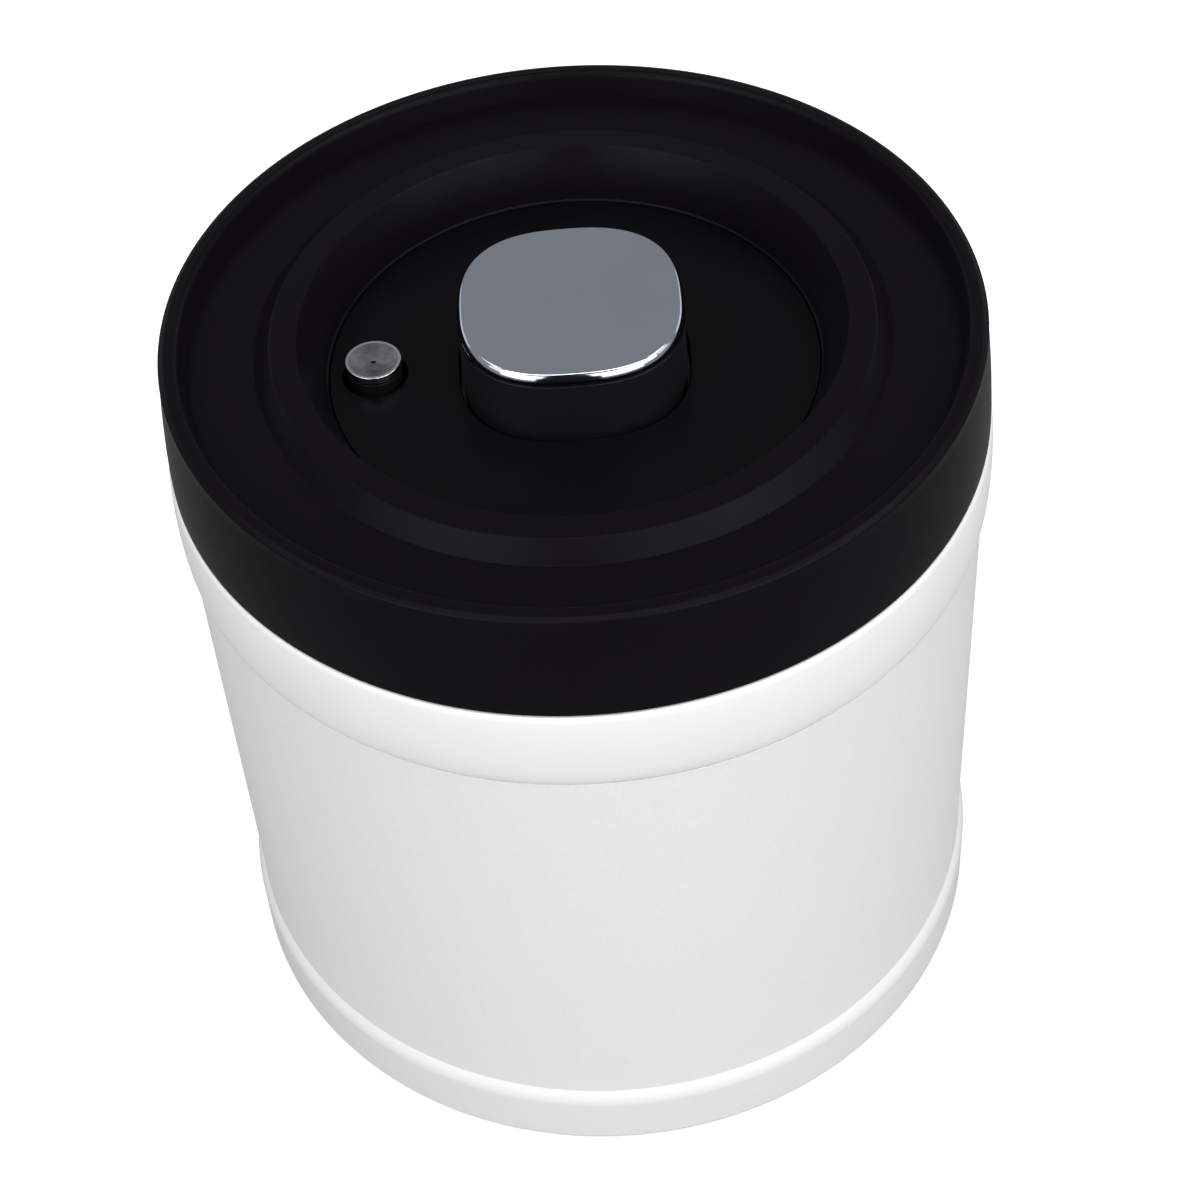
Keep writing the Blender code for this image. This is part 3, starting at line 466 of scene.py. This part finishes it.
def on_circle(radius, degrees):
    """The x and y of a point on a circle round the axis."""
    angle = math.radians(degrees)
    return radius * math.cos(angle), radius * math.sin(angle)


LID_SCREWS = [on_circle(33.945, degrees) for degrees in (45, 135, 225, 315)]
BUTTON_X = -29.895
GREY_MOULDING = moulded(
    "grey_moulding", (0.085, 0.085, 0.09), (0.105, 0.105, 0.11), 0.25, 0.38, 0.4, 0.008
)

posts, pilots = bmesh.new(), bmesh.new()
for x, y in LID_SCREWS:
    rod(posts, x, y, 96.7, 112.6, 2.85)
    rod(pilots, x, y, 107.3, 113.6, 1.25)
rod(posts, BUTTON_X, 0, 96.7, 98.5, 4.0)
rod(pilots, BUTTON_X, 0, 94.6, 99.5, 2.4)
make_piece(
    "plug_cup",
    combined(
        sweep_rings(
            [
                (52.4, 121.1, 0.3),
                (59.3, 121.1, 0.3),
                (59.3, 119.5, 0.3),
                (54.0, 119.5),
                (54.0, 111.7),
                (55.1, 111.1, 0.3),
                (54.0, 109.3, 0.6),
                (54.0, 95.6, 2.2),
                (9.0, 95.6, 0.2),
                (9.0, 97.2, 0.2),
                (52.4, 97.2, 1.0),
            ],
            HIDDEN_SIDES,
        ),
        posts,
        pilots,
    ),
    GREY_MOULDING,
    "lid",
    ["lid_plug"],
)


# Gasket: a moulded silicone ring stretched over the plug. Its flange seals on the vessel's lip, and
# its two thin lips wipe the vessel's bore.

CLEAR_SILICONE = silicone("clear_silicone", (0.58, 0.58, 0.57))
make_piece(
    "lid_seal",
    sweep_rings(
        [
            (54.3, 119.2, 0.2),
            (59.0, 119.2, 0.3),
            (59.0, 117.7, 0.3),
            (55.4, 117.7, 0.4),
            (55.4, 116.4, 0.3),
            (56.75, 115.6, 0.15),
            (55.4, 114.5, 0.3),
            (55.4, 113.9, 0.3),
            (56.75, 113.1, 0.15),
            (55.4, 112.0, 0.3),
            (54.3, 112.0, 0.2),
        ],
        HIDDEN_SIDES,
    ),
    CLEAR_SILICONE,
    "lid",
    ["lid_gasket"],
)


# Pump parts that stay inside the lid: the cylinder, the piston, their seals and check valves. They
# keep the CAD's shapes, in moulded grey plastic and silicone. The screws are plain bright steel.

SCREW_STEEL = turned_steel("screw_steel", (0.55, 0.55, 0.54), 0.12, 0.26)
SCREWS = [
    f"{kind}_screw_{number}"
    for kind, count in (("lid", 4), ("pump", 3), ("piston", 2))
    for number in range(1, count + 1)
]
for finish, nodes in (
    (GREY_MOULDING, ("pump_cylinder", "pump_piston")),
    (CLEAR_SILICONE, ("cylinder_seal", "inlet_valve", "piston_seal", "exhaust_valve")),
    (SCREW_STEEL, SCREWS),
):
    for node in nodes:
        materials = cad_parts[node].data.materials
        materials.clear()
        materials.append(finish)


# Grille: a moulded disc with six slots, snapped into the airway under the plug. It keeps the
# coffee off the pump's inlet valve.

SLOT_COUNT = 6
SLOT_MIDDLE = Matrix.Translation((4.25 * MM, 0.0, 94.9 * MM))
SLOT_SIZE = Matrix.Diagonal((4.5 * MM, 1.2 * MM, 5.0 * MM, 1.0))

slots = bmesh.new()
for number in range(SLOT_COUNT):
    turn = Matrix.Rotation(math.tau * number / SLOT_COUNT, 4, "Z")
    bmesh.ops.create_cube(slots, size=1.0, matrix=turn @ SLOT_MIDDLE @ SLOT_SIZE)
make_piece(
    "airway_grille",
    combined(
        sweep_rings(
            [
                (0.0, 95.3),
                (7.3, 95.3),
                (7.3, 97.2, 0.2),
                (8.7, 97.2, 0.3),
                (8.7, 95.3),
                (13.0, 95.3, 0.2),
                (13.0, 94.1, 0.5),
                (0.0, 94.1),
            ],
            HIDDEN_SIDES,
        ),
        bmesh.new(),
        slots,
    ),
    GREY_MOULDING,
    "lid",
    ["valve_grille"],
)


# Springs: stainless wire. The knob's spring is wound as a cone so that it closes flat, and the
# button's is wound straight round its shaft. Both rest on the lid. The real ones shorten as they
# are pressed; these keep one length.

STEPS_A_TURN = 40


def wound_spring(name, node, wire, bottom, top, radii, turns, x):
    """A wire coiled from bottom to top, as a tube."""
    line = bpy.data.curves.new(name, "CURVE")
    line.dimensions = "3D"
    line.bevel_depth = wire / 2 * MM
    line.bevel_resolution = 3
    line.use_fill_caps = True
    spline = line.splines.new("POLY")
    steps = round(turns * STEPS_A_TURN)
    spline.points.add(steps)
    for step, point in enumerate(spline.points):
        share = step / steps
        angle = math.tau * turns * share
        radius = radii[0] + (radii[1] - radii[0]) * share
        height = bottom + wire / 2 + (top - bottom - wire) * share
        place = Vector((radius * math.cos(angle), radius * math.sin(angle), height)) * MM
        point.co = (*place, 1.0)
    shape = bpy.data.objects.new(name + "_line", line)
    bpy.context.scene.collection.objects.link(shape)
    graph = bpy.context.evaluated_depsgraph_get()
    body = bmesh.new()
    body.from_mesh(shape.evaluated_get(graph).to_mesh())
    bpy.data.objects.remove(shape, do_unlink=True)
    bmesh.ops.remove_doubles(body, verts=body.verts, dist=1e-6)
    spring = make_piece(name, body, SCREW_STEEL, "lid", [node], x)
    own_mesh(spring)


wound_spring(
    "knob_spring", "pump_spring", 0.9, 100.7, 112.7, (17.0, 13.6), 3.0, 0.0
)
wound_spring(
    "button_spring",
    "release_spring",
    0.5,
    98.8,
    111.6,
    (2.9, 2.9),
    4.5,
    BUTTON_X,
)


# Cover: the lid's black moulding. A skirt drops over the neck, and a rounded rim runs round a
# shallow trough, a raised collar and a bowl. The ledge in the bowl carries the deck.

COVER_BLACK = moulded(
    "cover_black", (0.0040, 0.0032, 0.0043), (0.0054, 0.0045, 0.0059), 0.16, 0.25, 0.05, 0.004
)


def crown(centre, across, rise, first, last, steps):
    """Points round part of an oval, between two angles in degrees up from the outward level."""
    points = []
    for step in range(steps + 1):
        turn = math.radians(first + (last - first) * step / steps)
        points.append((centre[0] + across * math.cos(turn), centre[1] + rise * math.sin(turn)))
    return points


SKIRT = (62.2, 109.6)
SHOULDER = (61.0, 125.4)
RIM_INSIDE = crown((58.9, 125.5), 1.1, 1.8, 90, 155, 12)
BOWL_TOP = (40.6, 126.0)
BOWL_FOOT = (37.15, 118.3)
BORE_SIDES = 48
SCREW_BORE = [(2.25, 116.6), (2.25, 113.95), (1.25, 113.95), (1.25, 111.9)]


def stepped_bore(x, y, steps):
    """A cutter for a round hole at x, y whose (radius, height) steps go from its top down."""
    bore = sweep_rings([(0.0, steps[0][1]), *steps, (0.0, steps[-1][1])], BORE_SIDES)
    bmesh.ops.translate(bore, vec=(x * MM, y * MM, 0), verts=bore.verts)
    return bore


def add_body(target, source):
    """Adds one helper to another."""
    mesh = bpy.data.meshes.new("helper")
    source.to_mesh(mesh)
    source.free()
    target.from_mesh(mesh)
    bpy.data.meshes.remove(mesh)


ledge_cuts = bmesh.new()
rod(ledge_cuts, BUTTON_X, 0, 111.9, 115.75, 6.25, 64)
for x, y in LID_SCREWS:
    add_body(ledge_cuts, stepped_bore(x, y, SCREW_BORE))
make_piece(
    "lid_shell",
    combined(
        sweep_rings(
            [
                (60.0, 109.0, 0.3),
                (62.2, 109.0, 0.45),
                SKIRT,
                *bezier(SKIRT, (62.1, 115.0), (61.5, 121.0), SHOULDER, 18),
                (60.98, 126.65, 0.5),
                (60.1, 127.15, 0.7),
                *RIM_INSIDE,
                (57.0, 123.35),
                (47.45, 123.2, 0.3),
                (44.7, 126.0, 0.6),
                (40.75, 126.2, 0.15),
                BOWL_TOP,
                *bezier(BOWL_TOP, (39.85, 124.6), (37.95, 121.2), BOWL_FOOT, 14),
                (36.9, 118.08),
                (36.9, 115.6),
                (31.0, 115.6, 0.3),
                (31.0, 112.9, 0.3),
                (38.7, 112.9, 0.3),
                (38.7, 117.4),
                (41.2, 124.6, 1.0),
                (44.6, 124.0, 1.0),
                (46.9, 121.4, 0.8),
                (58.4, 121.4, 0.5),
                (59.2, 124.8, 0.3),
                (60.0, 123.8, 0.3),
            ],
            FULL_SIDES,
        ),
        bmesh.new(),
        ledge_cuts,
    ),
    COVER_BLACK,
    "lid",
    ["lid_cover"],
)


# Deck: a flat black disc pressed into the bowl. It has a square-shouldered hole for the knob and a
# guide for the button, and hooks and bosses underneath hold it and the pump.

SQUARENESS = 2.6
HOLE_ZONE = 27.0
PUMP_SCREWS = [on_circle(26.145, degrees) for degrees in (0, 120, 240)]
HOOK_WIDTH = 6.0
HOOK_SECTION = [
    (29.1, 116.9),
    (30.7, 116.9),
    (30.7, 112.6),
    (31.9, 112.6),
    (30.7, 111.0),
    (29.1, 111.0),
]
HOOK_ANGLES = (30, 150, 210, 330)
DECK_BLACK = moulded(
    "deck_black", (0.0023, 0.0019, 0.0027), (0.0034, 0.0029, 0.0039), 0.14, 0.30, 0.085, 0.004
)


def knob_square(angle, radius):
    """The knob's outline, as a share of its half width."""
    reach = abs(math.cos(angle)) ** SQUARENESS + abs(math.sin(angle)) ** SQUARENESS
    return reach ** (-1 / SQUARENESS)


def hole_square(angle, radius):
    """The deck's outline: square-shouldered round the knob, and round at its rim."""
    return knob_square(angle, radius) if radius < HOLE_ZONE else 1.0


def flared_hole(x, radius, flare, bottom, top):
    """A cutter for a round hole whose top edge is rounded over."""
    hole = sweep_rings(
        [
            (0.0, top + 1.0),
            (radius + flare, top + 1.0),
            *[
                (radius + flare - flare * math.sin(turn), top - flare + flare * math.cos(turn))
                for turn in (math.radians(15 * step) for step in range(7))
            ],
            (radius, bottom),
            (0.0, bottom),
        ],
        HIDDEN_SIDES,
    )
    bmesh.ops.translate(hole, vec=(x * MM, 0, 0), verts=hole.verts)
    return hole


under_deck, deck_cuts = bmesh.new(), bmesh.new()
for x, y in PUMP_SCREWS:
    rod(under_deck, x, y, 111.3, 116.9, 2.85)
    rod(deck_cuts, x, y, 110.0, 115.8, 1.25)
rod(under_deck, BUTTON_X, 0, 106.9, 116.9, 5.95, HIDDEN_SIDES)
for degrees in HOOK_ANGLES:
    turn = Matrix.Rotation(math.radians(degrees), 3, "Z")
    corners = [turn @ (Vector((r, -HOOK_WIDTH / 2, z)) * MM) for r, z in HOOK_SECTION]
    face = under_deck.faces.new([under_deck.verts.new(corner) for corner in corners])
    grown = bmesh.ops.extrude_face_region(under_deck, geom=[face])
    moved = [item for item in grown["geom"] if isinstance(item, bmesh.types.BMVert)]
    bmesh.ops.translate(under_deck, vec=turn @ Vector((0, HOOK_WIDTH * MM, 0)), verts=moved)
bmesh.ops.recalc_face_normals(under_deck, faces=under_deck.faces)
add_body(deck_cuts, flared_hole(BUTTON_X, 4.85, 0.22, 105.0, 117.9))
make_piece(
    "deck_plate",
    combined(
        sweep_rings(
            [(17.2, 117.9, 0.3), (36.72, 117.9, 0.18), (36.72, 115.9, 0.2), (17.2, 115.9)],
            FULL_SIDES,
            hole_square,
        ),
        under_deck,
        deck_cuts,
    ),
    DECK_BLACK,
    "lid",
    ["deck_disc"],
)


# Knob: a black satin moulding with square shoulders, the part that is pushed to pump. Two bosses
# inside take the piston's screws.

KNOB_BLACK = moulded(
    "knob_black", (0.0034, 0.0031, 0.0045), (0.0046, 0.0042, 0.0060), 0.12, 0.30, 0.95, 0.003
)
PISTON_SCREWS = [on_circle(9.5, degrees) for degrees in (90, 270)]
bosses, boss_holes = bmesh.new(), bmesh.new()
for x, y in PISTON_SCREWS:
    rod(bosses, x, y, 114.9, 126.6, 2.85)
    rod(boss_holes, x, y, 113.9, 119.8, 1.25)
make_piece(
    "knob_shell",
    combined(
        sweep_rings(
            [
                (0.0, 128.6),
                (15.55, 128.6, 0.3),
                (15.55, 127.65),
                (16.66, 127.72, 0.04),
                (16.75, 114.9, 0.3),
                (14.95, 114.9, 0.3),
                (14.85, 125.7, 1.2),
                (0.0, 125.7),
            ],
            FULL_SIDES,
            knob_square,
        ),
        bosses,
        boss_holes,
    ),
    KNOB_BLACK,
    "pump_knob",
    ["knob_body"],
)


# Knob's cap: moulded, then plated with bright chrome and pressed over the knob's top. Its flat top
# ends at a fine edge, and a curved bevel runs down to the side.


def plated(name, shade, roughness):
    """Bright chrome over a moulding: almost a mirror, with faint ripple and wipe marks."""
    finish = Finish(name, Metallic=1.0)
    wipes = finish.noise(5.0, 4.0)
    haze = finish.noise(22.0, 1.0)
    ripple = finish.noise(2.2, 2.0)
    tone = tuple(part * 0.86 for part in shade)
    return finish.give(
        Base_Color=finish.blend(wipes * 0.35 + haze * 0.65, tone, shade),
        Roughness=wipes * 0.05 + roughness,
        Normal=finish.raised(ripple, 0.004, 0.3),
    )


CAP_CHROME = plated("cap_chrome", (0.58, 0.62, 0.715), 0.06)
BEVEL_TOP = (16.22, 129.6)
BEVEL_FOOT = (16.72, 128.55)
make_piece(
    "chrome_cap",
    sweep_rings(
        [
            (0.0, 129.8),
            (15.98, 129.8, 0.35),
            BEVEL_TOP,
            *bezier(BEVEL_TOP, (16.36, 129.46), (16.62, 128.95), BEVEL_FOOT, 14),
            (16.73, 127.8, 0.1),
            (15.85, 127.8),
            (15.85, 128.9),
            (0.0, 128.9),
        ],
        FULL_SIDES,
        knob_square,
    ),
    CAP_CHROME,
    "pump_knob",
    ["knob_cap"],
)


# Button: a black moulded stem in the deck's guide. Its shaft passes through the plug and holds the
# release valve, a silicone disc kept on by a steel clip.

BUTTON_BLACK = moulded(
    "button_black", (0.005, 0.0048, 0.0055), (0.007, 0.0068, 0.0078), 0.1, 0.28, 0.35, 0.003
)
make_piece(
    "button_shaft",
    sweep_rings(
        [
            (0.0, 119.3),
            (4.1, 119.3, 0.05),
            (4.1, 111.9, 0.3),
            (1.5, 111.9, 0.2),
            (1.5, 92.1, 0.4),
            (0.0, 92.1),
        ],
        HIDDEN_SIDES,
    ),
    BUTTON_BLACK,
    "release_button",
    ["button_stem"],
    BUTTON_X,
)
make_piece(
    "valve_disc",
    sweep_rings(
        [
            (1.65, 95.3, 0.15),
            (4.6, 95.3, 0.2),
            (4.6, 94.66, 0.2),
            (2.4, 93.7, 0.2),
            (1.65, 93.7),
        ],
        HIDDEN_SIDES,
    ),
    CLEAR_SILICONE,
    "release_button",
    ["release_valve"],
    BUTTON_X,
)
make_piece(
    "shaft_clip",
    sweep_rings(
        [(1.65, 93.4, 0.1), (2.7, 93.4, 0.15), (2.7, 92.7, 0.15), (1.65, 92.7, 0.1)],
        HIDDEN_SIDES,
    ),
    SCREW_STEEL,
    "release_button",
    ["valve_clip"],
    BUTTON_X,
)


# Button's cap: a turned metal cap with a beaded edge, painted bright as a highlight ring. Its
# dished top keeps the lathe's fine rings and a dimple in the middle, and its darker tone is painted
# shade.

RINGS_A_METRE = 5200.0
RINGS_END = (3.65, 3.78)


def lathed(name, shade, roughness):
    """Plated metal with the rings that a turning tool leaves, fading towards the edge. The dish is
    painted dark as painted shade, and the edge bright as a painted highlight ring.
    """
    finish = Finish(name, Metallic=1.0, Anisotropic=0.85)
    radius, _ = off_axis(finish)
    inputs = {"W": radius, "Scale": RINGS_A_METRE, "Detail": 1.0}
    rings = finish.node("TexNoise", {"noise_dimensions": "1D"}, inputs)
    fade = dict(zip(("From Min", "From Max"), (end * MM for end in RINGS_END)))
    inside = 1.0 - finish.node("MapRange", None, {"Value": radius, **fade})
    dish_mottle = finish.noise(1.8, 2.0)
    # Painted shade and highlight: the dish takes the dark tone, mottled at random, and the edge
    # keeps the bright shade as a painted highlight ring round the rim.
    tone = tuple(part * 0.34 for part in shade)
    return finish.give(
        Base_Color=finish.blend(inside * (rings * 0.15 + dish_mottle * 0.9 + 0.32), shade, tone),
        Roughness=inside * 0.30 + roughness,
        Normal=finish.raised(rings * inside, 0.05, 0.8),
    )


BUTTON_CHROME = lathed("button_chrome", (0.60, 0.61, 0.65), 0.08)
make_piece(
    "button_top",
    sweep_rings(
        [
            (0.0, 119.8),
            (0.26, 119.85, 0.05),
            (0.36, 120.42, 0.08),
            (3.8, 120.8, 0.2),
            (4.2, 120.9, 0.5),
            (4.2, 119.6, 0.15),
            (0.0, 119.6),
        ],
        HIDDEN_SIDES,
    ),
    BUTTON_CHROME,
    "release_button",
    ["button_cap"],
    BUTTON_X,
)


# Studio: a pale table inside a half ring of soft panels, with a gap for the camera in the middle,
# and a long panel above. Weaker ones light the back, and dark cloth hangs in the gap and over the
# panels. The table looks white but sends little light back, and the room is dim.

TABLE_HALF = 3.0
TABLE_BOUNCE = 0.27
table_corners = [
    (x * TABLE_HALF, y * TABLE_HALF, 0) for x, y in ((-1, -1), (1, -1), (1, 1), (-1, 1))
]
table_mesh = bpy.data.meshes.new("table")
table_mesh.from_pydata(table_corners, [], [(0, 1, 2, 3)])
table = bpy.data.objects.new("table", table_mesh)
bpy.context.scene.collection.objects.link(table)
table_finish = Finish("table_white", Roughness=0.9, Specular_IOR_Level=0.1, Emission_Strength=0.42)
seen_first = table_finish.node("LightPath", output="Is Camera Ray")
cloud = table_finish.noise(60.0) * 0.01
bounced = (TABLE_BOUNCE, TABLE_BOUNCE, TABLE_BOUNCE)
table_mesh.materials.append(
    table_finish.give(
        Base_Color=table_finish.blend(seen_first * 0.99 + cloud, bounced, (0.95, 0.95, 0.95)),
        Emission_Color=table_finish.blend(seen_first, (0.0, 0.0, 0.0), (1.0, 1.0, 1.0)),
    )
)

CLOTH_RADIUS = 1300
CLOTH_FOLD = 10
CLOTHS = ((-150, -30, 1370, 2250), (-110, -80, 60, 1370))
cloth = bmesh.new()
for first, last, bottom, top in CLOTHS:
    for azimuth in range(first, last, CLOTH_FOLD):
        after = azimuth + CLOTH_FOLD
        corners = ((azimuth, bottom), (after, bottom), (after, top), (azimuth, top))
        places = [Vector((*on_circle(CLOTH_RADIUS, turn), height)) for turn, height in corners]
        cloth.faces.new([cloth.verts.new(place * MM) for place in places])
cloth_mesh = bpy.data.meshes.new("dark_cloth")
cloth.to_mesh(cloth_mesh)
cloth.free()
cloth_finish = Finish("cloth_black", Specular_IOR_Level=0.05, Roughness=0.9)
weave = cloth_finish.noise(3.0)
cloth_mesh.materials.append(
    cloth_finish.give(
        Base_Color=cloth_finish.blend(weave, (0.008, 0.008, 0.008), (0.014, 0.014, 0.014))
    )
)
dark_cloth = bpy.data.objects.new("dark_cloth", cloth_mesh)
bpy.context.scene.collection.objects.link(dark_cloth)
dark_cloth.visible_camera = False

ROOM_SEEN = (0.93, 0.93, 0.93, 1.0)
ROOM_DIM = (0.32, 0.32, 0.325, 1.0)
room = bpy.data.worlds.new("room")
bpy.context.scene.world = room
room.use_nodes = True
room_nodes, room_links = room.node_tree.nodes, room.node_tree.links
seen = room_nodes["Background"]
seen.inputs["Color"].default_value = ROOM_SEEN
dim = room_nodes.new("ShaderNodeBackground")
dim.inputs["Color"].default_value = ROOM_DIM
ray = room_nodes.new("ShaderNodeLightPath")
either = room_nodes.new("ShaderNodeMixShader")
room_links.new(ray.outputs["Is Camera Ray"], either.inputs["Fac"])
room_links.new(dim.outputs["Background"], either.inputs[1])
room_links.new(seen.outputs["Background"], either.inputs[2])
room_links.new(either.outputs["Shader"], room_nodes["World Output"].inputs["Surface"])


PANEL_AIM = Vector((0, 0, 90)) * MM


def soft_box(name, place, width, height, power, mirrored=True):
    """A rectangular soft light at a place in millimetres, turned towards the lid."""
    light = bpy.data.lights.new(name, "AREA")
    light.shape = "RECTANGLE"
    light.size = width * MM
    light.size_y = height * MM
    light.energy = power
    lamp = bpy.data.objects.new(name, light)
    bpy.context.scene.collection.objects.link(lamp)
    lamp.location = Vector(place) * MM
    lamp.rotation_euler = (lamp.location - PANEL_AIM).to_track_quat("Z", "Y").to_euler()
    lamp.visible_camera = False
    lamp.visible_glossy = mirrored


HALF_RING = 1178
BACK_RING = 1400
PANELS = (
    (-175, 790, 0.1),
    (-155, 790, 1.65),
    (-136, 640, 2.9),
    (-117, 640, 3.0),
    (-73.5, 640, 3.2),
    (-52, 640, 2.9),
    (-30, 790, 3.4),
    (-5, 790, 1.15),
)
for number, (azimuth, height, power) in enumerate(PANELS, 1):
    soft_box(f"panel_{number}", (*on_circle(HALF_RING, azimuth), height), 520, 900, power)
soft_box("high_panel", (0, -529, 1278), 2000, 260, 6.6)
soft_box("high_left_panel", (-865, 88, 1186), 500, 350, 1.1)
soft_box("high_right_panel", (865, 88, 1186), 500, 350, 1.7)
soft_box("back_left_panel", (*on_circle(BACK_RING, 140), 430), 900, 450, 0.7)
soft_box("back_right_panel", (*on_circle(BACK_RING, 40), 430), 900, 450, 0.8)
soft_box("back_fill", (0, 1500, 500), 1300, 900, 8.0, mirrored=False)


# Camera: a long lens close above the front, turned a little anticlockwise as the photograph's is.

EYE = Vector((1.075, -293.656, 385.253)) * MM
PITCH = math.radians(47.5465)
ROLL = math.radians(-4.3208)
LENS = 79.358
ahead = Vector((0.0, math.cos(PITCH), -math.sin(PITCH)))
level_right = Vector((1.0, 0.0, 0.0))
level_up = level_right.cross(ahead)
right = level_right * math.cos(ROLL) + level_up * math.sin(ROLL)
up = level_up * math.cos(ROLL) - level_right * math.sin(ROLL)
lens = bpy.data.cameras.new("camera")
lens.lens = LENS
lens.sensor_width = 36.0
lens.clip_start = 0.01
camera = bpy.data.objects.new("camera", lens)
bpy.context.scene.collection.objects.link(camera)
camera.matrix_world = Matrix.Translation(EYE) @ Matrix((right, up, -ahead)).transposed().to_4x4()
bpy.context.scene.camera = camera
bpy.context.scene.view_settings.view_transform = "Standard"
